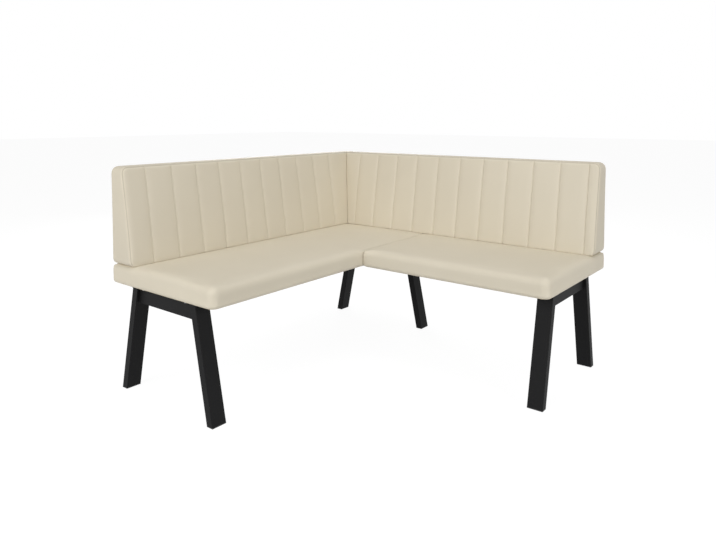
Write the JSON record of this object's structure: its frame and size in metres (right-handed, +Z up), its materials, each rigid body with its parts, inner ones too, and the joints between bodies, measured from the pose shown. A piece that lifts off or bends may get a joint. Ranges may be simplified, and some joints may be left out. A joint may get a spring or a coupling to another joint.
{
  "type": "corner bench",
  "caption": "Padded corner dining bench: seats joined at a right angle, upright channelled backrests and splayed flat steel tube legs.",
  "frame": {"origin": "on the floor, under the middle of the whole bench's box", "axes": "+X along the back wall towards the short bench's free end, +Y towards the back wall, +Z up; the side wall is at -X"},
  "size_m": [1.42, 1.4, 0.865],
  "materials": {
    "leatherette": "satin",
    "lining": "matte",
    "plywood": "matte",
    "timber": "matte",
    "hardboard": "matte",
    "black_powder_coat": "satin",
    "black_plastic": "matte",
    "zinc_steel": "satin"
  },
  "bodies": {
    "root": {"long_seat_cushion": "leatherette", "long_seat_board": "plywood", "long_seat_liner": "lining", "long_seat_rail": "timber", "long_back_front_pad": "leatherette", "long_back_top_pad": "leatherette", "long_back_free_end_pad": "leatherette", "long_back_corner_end_pad": "leatherette", "long_back_rear_cover": "leatherette", "long_back_front_panel": "plywood", "long_back_rear_panel": "hardboard", "long_back_bottom_rail": "timber", "long_back_top_rail": "timber", "long_back_rib_1": "timber", "long_back_rib_2": "timber", "long_back_rib_3": "timber", "long_back_rib_4": "timber", "short_seat_cushion": "leatherette", "short_seat_board": "plywood", "short_seat_liner": "lining", "short_seat_rail": "timber", "short_back_front_pad": "leatherette", "short_back_top_pad": "leatherette", "short_back_free_end_pad": "leatherette", "short_back_corner_end_pad": "leatherette", "short_back_rear_cover": "leatherette", "short_back_front_panel": "plywood", "short_back_rear_panel": "hardboard", "short_back_bottom_rail": "timber", "short_back_top_rail": "timber", "short_back_rib_1": "timber", "short_back_rib_2": "timber", "short_back_rib_3": "timber", "short_back_rib_4": "timber", "corner_seat_rail": "timber", "corner_frame_rear_leg": "black_powder_coat", "corner_frame_front_leg": "black_powder_coat", "corner_frame_crossbar": "black_powder_coat", "corner_frame_top_plate": "black_powder_coat", "corner_frame_rear_foot": "black_plastic", "corner_frame_front_foot": "black_plastic", "long_end_frame_rear_leg": "black_powder_coat", "long_end_frame_front_leg": "black_powder_coat", "long_end_frame_crossbar": "black_powder_coat", "long_end_frame_top_plate": "black_powder_coat", "long_end_frame_rear_foot": "black_plastic", "long_end_frame_front_foot": "black_plastic", "short_end_frame_rear_leg": "black_powder_coat", "short_end_frame_front_leg": "black_powder_coat", "short_end_frame_crossbar": "black_powder_coat", "short_end_frame_top_plate": "black_powder_coat", "short_end_frame_rear_foot": "black_plastic", "short_end_frame_front_foot": "black_plastic", "seat_joint_plate_1": "black_powder_coat", "seat_joint_plate_2": "black_powder_coat", "seat_screws": "zinc_steel", "seat_inserts": "zinc_steel", "back_bolts": "zinc_steel", "back_washers": "zinc_steel", "back_tee_nuts": "zinc_steel"}
  },
  "joints": []
}
